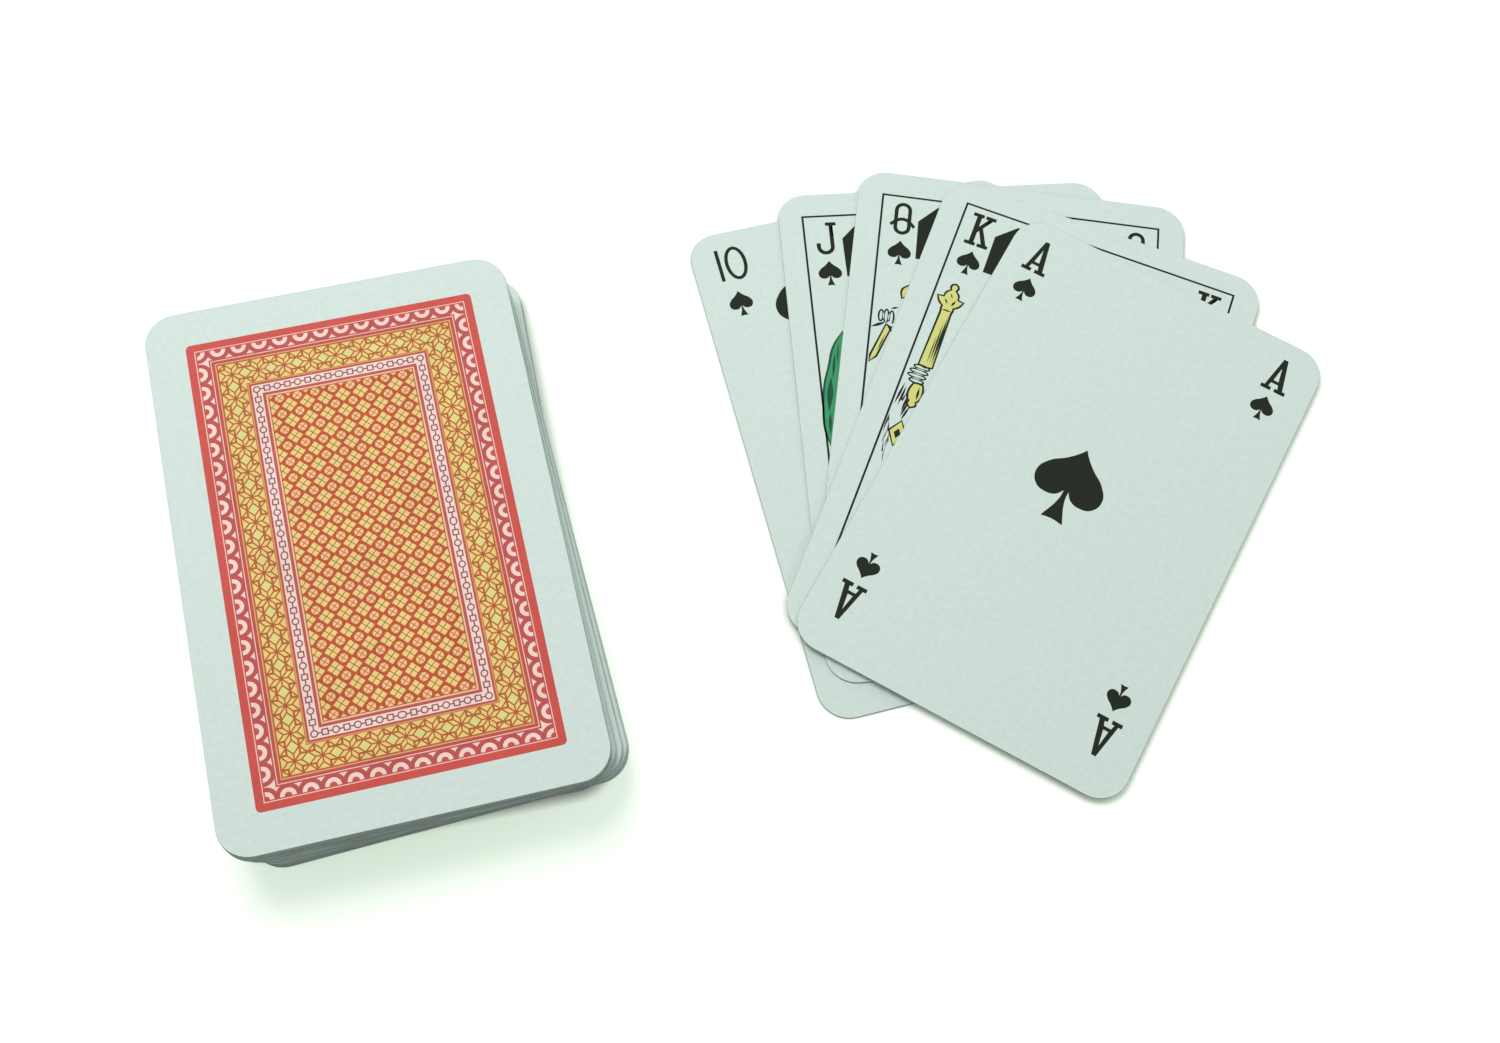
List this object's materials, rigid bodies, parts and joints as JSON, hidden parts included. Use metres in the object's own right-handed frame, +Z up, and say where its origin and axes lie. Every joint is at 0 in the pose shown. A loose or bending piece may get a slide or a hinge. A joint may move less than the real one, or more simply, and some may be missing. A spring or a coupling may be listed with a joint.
{
  "type": "playing card deck",
  "caption": "Deck of loose playing cards on a table: a face-down pack splayed by handling and a face-up fan of high spades, every card free to slide or swivel.",
  "frame": {"origin": "on the table under the middle of the pack's top card, in the face that the pack's lowest card rests on", "axes": "+X along the short side of the pack's top card, towards the fan; +Y along its long side, away from the player; +Z up"},
  "size_m": [0.1879, 0.1148, 0.0131],
  "materials": {
    "card_stock": "calendered and lightly varnished card, printed on both sides"
  },
  "bodies": {
    "two_of_clubs": {"two_of_clubs": "card_stock"},
    "three_of_clubs": {"three_of_clubs": "card_stock"},
    "four_of_clubs": {"four_of_clubs": "card_stock"},
    "five_of_clubs": {"five_of_clubs": "card_stock"},
    "six_of_clubs": {"six_of_clubs": "card_stock"},
    "seven_of_clubs": {"seven_of_clubs": "card_stock"},
    "eight_of_clubs": {"eight_of_clubs": "card_stock"},
    "nine_of_clubs": {"nine_of_clubs": "card_stock"},
    "ten_of_clubs": {"ten_of_clubs": "card_stock"},
    "jack_of_clubs": {"jack_of_clubs": "card_stock"},
    "queen_of_clubs": {"queen_of_clubs": "card_stock"},
    "king_of_clubs": {"king_of_clubs": "card_stock"},
    "ace_of_clubs": {"ace_of_clubs": "card_stock"},
    "two_of_diamonds": {"two_of_diamonds": "card_stock"},
    "three_of_diamonds": {"three_of_diamonds": "card_stock"},
    "four_of_diamonds": {"four_of_diamonds": "card_stock"},
    "five_of_diamonds": {"five_of_diamonds": "card_stock"},
    "six_of_diamonds": {"six_of_diamonds": "card_stock"},
    "seven_of_diamonds": {"seven_of_diamonds": "card_stock"},
    "eight_of_diamonds": {"eight_of_diamonds": "card_stock"},
    "nine_of_diamonds": {"nine_of_diamonds": "card_stock"},
    "ten_of_diamonds": {"ten_of_diamonds": "card_stock"},
    "jack_of_diamonds": {"jack_of_diamonds": "card_stock"},
    "queen_of_diamonds": {"queen_of_diamonds": "card_stock"},
    "king_of_diamonds": {"king_of_diamonds": "card_stock"},
    "ace_of_diamonds": {"ace_of_diamonds": "card_stock"},
    "two_of_spades": {"two_of_spades": "card_stock"},
    "three_of_spades": {"three_of_spades": "card_stock"},
    "four_of_spades": {"four_of_spades": "card_stock"},
    "five_of_spades": {"five_of_spades": "card_stock"},
    "six_of_spades": {"six_of_spades": "card_stock"},
    "seven_of_spades": {"seven_of_spades": "card_stock"},
    "eight_of_spades": {"eight_of_spades": "card_stock"},
    "nine_of_spades": {"nine_of_spades": "card_stock"},
    "two_of_hearts": {"two_of_hearts": "card_stock"},
    "three_of_hearts": {"three_of_hearts": "card_stock"},
    "four_of_hearts": {"four_of_hearts": "card_stock"},
    "five_of_hearts": {"five_of_hearts": "card_stock"},
    "six_of_hearts": {"six_of_hearts": "card_stock"},
    "seven_of_hearts": {"seven_of_hearts": "card_stock"},
    "eight_of_hearts": {"eight_of_hearts": "card_stock"},
    "nine_of_hearts": {"nine_of_hearts": "card_stock"},
    "ten_of_hearts": {"ten_of_hearts": "card_stock"},
    "jack_of_hearts": {"jack_of_hearts": "card_stock"},
    "queen_of_hearts": {"queen_of_hearts": "card_stock"},
    "king_of_hearts": {"king_of_hearts": "card_stock"},
    "ace_of_hearts": {"ace_of_hearts": "card_stock"},
    "ten_of_spades": {"ten_of_spades": "card_stock"},
    "jack_of_spades": {"jack_of_spades": "card_stock"},
    "queen_of_spades": {"queen_of_spades": "card_stock"},
    "king_of_spades": {"king_of_spades": "card_stock"},
    "ace_of_spades": {"ace_of_spades": "card_stock"}
  },
  "joints": [
    {"name": "fan_slide", "type": "slide", "parent": "two_of_clubs", "child": "ten_of_spades", "axis": [1, 0, 0], "range_m": [-0.02, 0.06]},
    {"name": "fan_swivel_jack", "type": "hinge", "parent": "ten_of_spades", "child": "jack_of_spades", "pos_m": [0.0836, -0.0247, 0], "axis": [0, 0, 1], "range_deg": [-12, 10.2]},
    {"name": "fan_swivel_queen", "type": "hinge", "parent": "jack_of_spades", "child": "queen_of_spades", "pos_m": [0.0836, -0.0247, 0], "axis": [0, 0, 1], "range_deg": [-12, 11.5]},
    {"name": "fan_swivel_king", "type": "hinge", "parent": "queen_of_spades", "child": "king_of_spades", "pos_m": [0.0836, -0.0247, 0], "axis": [0, 0, 1], "range_deg": [-12, 13.9]},
    {"name": "fan_swivel_ace", "type": "hinge", "parent": "king_of_spades", "child": "ace_of_spades", "pos_m": [0.0836, -0.0247, 0], "axis": [0, 0, 1], "range_deg": [-12, 8.3]},
    {"name": "pack_draw_ace_of_hearts", "type": "slide", "parent": "two_of_clubs", "child": "ace_of_hearts", "axis": [0, -1, 0], "range_m": [0, 0.095]},
    {"name": "pack_draw_king_of_hearts", "type": "slide", "parent": "two_of_clubs", "child": "king_of_hearts", "axis": [0, -1, 0], "range_m": [0, 0.095]},
    {"name": "pack_draw_queen_of_hearts", "type": "slide", "parent": "two_of_clubs", "child": "queen_of_hearts", "axis": [0, -1, 0], "range_m": [0, 0.095]},
    {"name": "pack_draw_jack_of_hearts", "type": "slide", "parent": "two_of_clubs", "child": "jack_of_hearts", "axis": [0, -1, 0], "range_m": [0, 0.095]},
    {"name": "pack_draw_ten_of_hearts", "type": "slide", "parent": "two_of_clubs", "child": "ten_of_hearts", "axis": [0, -1, 0], "range_m": [0, 0.095]},
    {"name": "pack_draw_nine_of_hearts", "type": "slide", "parent": "two_of_clubs", "child": "nine_of_hearts", "axis": [0, -1, 0], "range_m": [0, 0.095]},
    {"name": "pack_draw_eight_of_hearts", "type": "slide", "parent": "two_of_clubs", "child": "eight_of_hearts", "axis": [0, -1, 0], "range_m": [0, 0.095]},
    {"name": "pack_draw_seven_of_hearts", "type": "slide", "parent": "two_of_clubs", "child": "seven_of_hearts", "axis": [0, -1, 0], "range_m": [0, 0.095]},
    {"name": "pack_draw_six_of_hearts", "type": "slide", "parent": "two_of_clubs", "child": "six_of_hearts", "axis": [0, -1, 0], "range_m": [0, 0.095]},
    {"name": "pack_draw_five_of_hearts", "type": "slide", "parent": "two_of_clubs", "child": "five_of_hearts", "axis": [0, -1, 0], "range_m": [0, 0.095]},
    {"name": "pack_draw_four_of_hearts", "type": "slide", "parent": "two_of_clubs", "child": "four_of_hearts", "axis": [0, -1, 0], "range_m": [0, 0.095]},
    {"name": "pack_draw_three_of_hearts", "type": "slide", "parent": "two_of_clubs", "child": "three_of_hearts", "axis": [0, -1, 0], "range_m": [0, 0.095]},
    {"name": "pack_draw_two_of_hearts", "type": "slide", "parent": "two_of_clubs", "child": "two_of_hearts", "axis": [0, -1, 0], "range_m": [0, 0.095]},
    {"name": "pack_draw_nine_of_spades", "type": "slide", "parent": "two_of_clubs", "child": "nine_of_spades", "axis": [0, -1, 0], "range_m": [0, 0.095]},
    {"name": "pack_draw_eight_of_spades", "type": "slide", "parent": "two_of_clubs", "child": "eight_of_spades", "axis": [0, -1, 0], "range_m": [0, 0.095]},
    {"name": "pack_draw_seven_of_spades", "type": "slide", "parent": "two_of_clubs", "child": "seven_of_spades", "axis": [0, -1, 0], "range_m": [0, 0.095]},
    {"name": "pack_draw_six_of_spades", "type": "slide", "parent": "two_of_clubs", "child": "six_of_spades", "axis": [0, -1, 0], "range_m": [0, 0.095]},
    {"name": "pack_draw_five_of_spades", "type": "slide", "parent": "two_of_clubs", "child": "five_of_spades", "axis": [0, -1, 0], "range_m": [0, 0.095]},
    {"name": "pack_draw_four_of_spades", "type": "slide", "parent": "two_of_clubs", "child": "four_of_spades", "axis": [0, -1, 0], "range_m": [0, 0.095]},
    {"name": "pack_draw_three_of_spades", "type": "slide", "parent": "two_of_clubs", "child": "three_of_spades", "axis": [0, -1, 0], "range_m": [0, 0.095]},
    {"name": "pack_draw_two_of_spades", "type": "slide", "parent": "two_of_clubs", "child": "two_of_spades", "axis": [0, -1, 0], "range_m": [0, 0.095]},
    {"name": "pack_draw_ace_of_diamonds", "type": "slide", "parent": "two_of_clubs", "child": "ace_of_diamonds", "axis": [0, -1, 0], "range_m": [0, 0.095]},
    {"name": "pack_draw_king_of_diamonds", "type": "slide", "parent": "two_of_clubs", "child": "king_of_diamonds", "axis": [0, -1, 0], "range_m": [0, 0.095]},
    {"name": "pack_draw_queen_of_diamonds", "type": "slide", "parent": "two_of_clubs", "child": "queen_of_diamonds", "axis": [0, -1, 0], "range_m": [0, 0.095]},
    {"name": "pack_draw_jack_of_diamonds", "type": "slide", "parent": "two_of_clubs", "child": "jack_of_diamonds", "axis": [0, -1, 0], "range_m": [0, 0.095]},
    {"name": "pack_draw_ten_of_diamonds", "type": "slide", "parent": "two_of_clubs", "child": "ten_of_diamonds", "axis": [0, -1, 0], "range_m": [0, 0.095]},
    {"name": "pack_draw_nine_of_diamonds", "type": "slide", "parent": "two_of_clubs", "child": "nine_of_diamonds", "axis": [0, -1, 0], "range_m": [0, 0.095]},
    {"name": "pack_draw_eight_of_diamonds", "type": "slide", "parent": "two_of_clubs", "child": "eight_of_diamonds", "axis": [0, -1, 0], "range_m": [0, 0.095]},
    {"name": "pack_draw_seven_of_diamonds", "type": "slide", "parent": "two_of_clubs", "child": "seven_of_diamonds", "axis": [0, -1, 0], "range_m": [0, 0.095]},
    {"name": "pack_draw_six_of_diamonds", "type": "slide", "parent": "two_of_clubs", "child": "six_of_diamonds", "axis": [0, -1, 0], "range_m": [0, 0.095]},
    {"name": "pack_draw_five_of_diamonds", "type": "slide", "parent": "two_of_clubs", "child": "five_of_diamonds", "axis": [0, -1, 0], "range_m": [0, 0.095]},
    {"name": "pack_draw_four_of_diamonds", "type": "slide", "parent": "two_of_clubs", "child": "four_of_diamonds", "axis": [0, -1, 0], "range_m": [0, 0.095]},
    {"name": "pack_draw_three_of_diamonds", "type": "slide", "parent": "two_of_clubs", "child": "three_of_diamonds", "axis": [0, -1, 0], "range_m": [0, 0.095]},
    {"name": "pack_draw_two_of_diamonds", "type": "slide", "parent": "two_of_clubs", "child": "two_of_diamonds", "axis": [0, -1, 0], "range_m": [0, 0.095]},
    {"name": "pack_draw_ace_of_clubs", "type": "slide", "parent": "two_of_clubs", "child": "ace_of_clubs", "axis": [0, -1, 0], "range_m": [0, 0.095]},
    {"name": "pack_draw_king_of_clubs", "type": "slide", "parent": "two_of_clubs", "child": "king_of_clubs", "axis": [0, -1, 0], "range_m": [0, 0.095]},
    {"name": "pack_draw_queen_of_clubs", "type": "slide", "parent": "two_of_clubs", "child": "queen_of_clubs", "axis": [0, -1, 0], "range_m": [0, 0.095]},
    {"name": "pack_draw_jack_of_clubs", "type": "slide", "parent": "two_of_clubs", "child": "jack_of_clubs", "axis": [0, -1, 0], "range_m": [0, 0.095]},
    {"name": "pack_draw_ten_of_clubs", "type": "slide", "parent": "two_of_clubs", "child": "ten_of_clubs", "axis": [0, -1, 0], "range_m": [0, 0.095]},
    {"name": "pack_draw_nine_of_clubs", "type": "slide", "parent": "two_of_clubs", "child": "nine_of_clubs", "axis": [0, -1, 0], "range_m": [0, 0.095]},
    {"name": "pack_draw_eight_of_clubs", "type": "slide", "parent": "two_of_clubs", "child": "eight_of_clubs", "axis": [0, -1, 0], "range_m": [0, 0.095]},
    {"name": "pack_draw_seven_of_clubs", "type": "slide", "parent": "two_of_clubs", "child": "seven_of_clubs", "axis": [0, -1, 0], "range_m": [0, 0.095]},
    {"name": "pack_draw_six_of_clubs", "type": "slide", "parent": "two_of_clubs", "child": "six_of_clubs", "axis": [0, -1, 0], "range_m": [0, 0.095]},
    {"name": "pack_draw_five_of_clubs", "type": "slide", "parent": "two_of_clubs", "child": "five_of_clubs", "axis": [0, -1, 0], "range_m": [0, 0.095]},
    {"name": "pack_draw_four_of_clubs", "type": "slide", "parent": "two_of_clubs", "child": "four_of_clubs", "axis": [0, -1, 0], "range_m": [0, 0.095]},
    {"name": "pack_draw_three_of_clubs", "type": "slide", "parent": "two_of_clubs", "child": "three_of_clubs", "axis": [0, -1, 0], "range_m": [0, 0.095]}
  ]
}
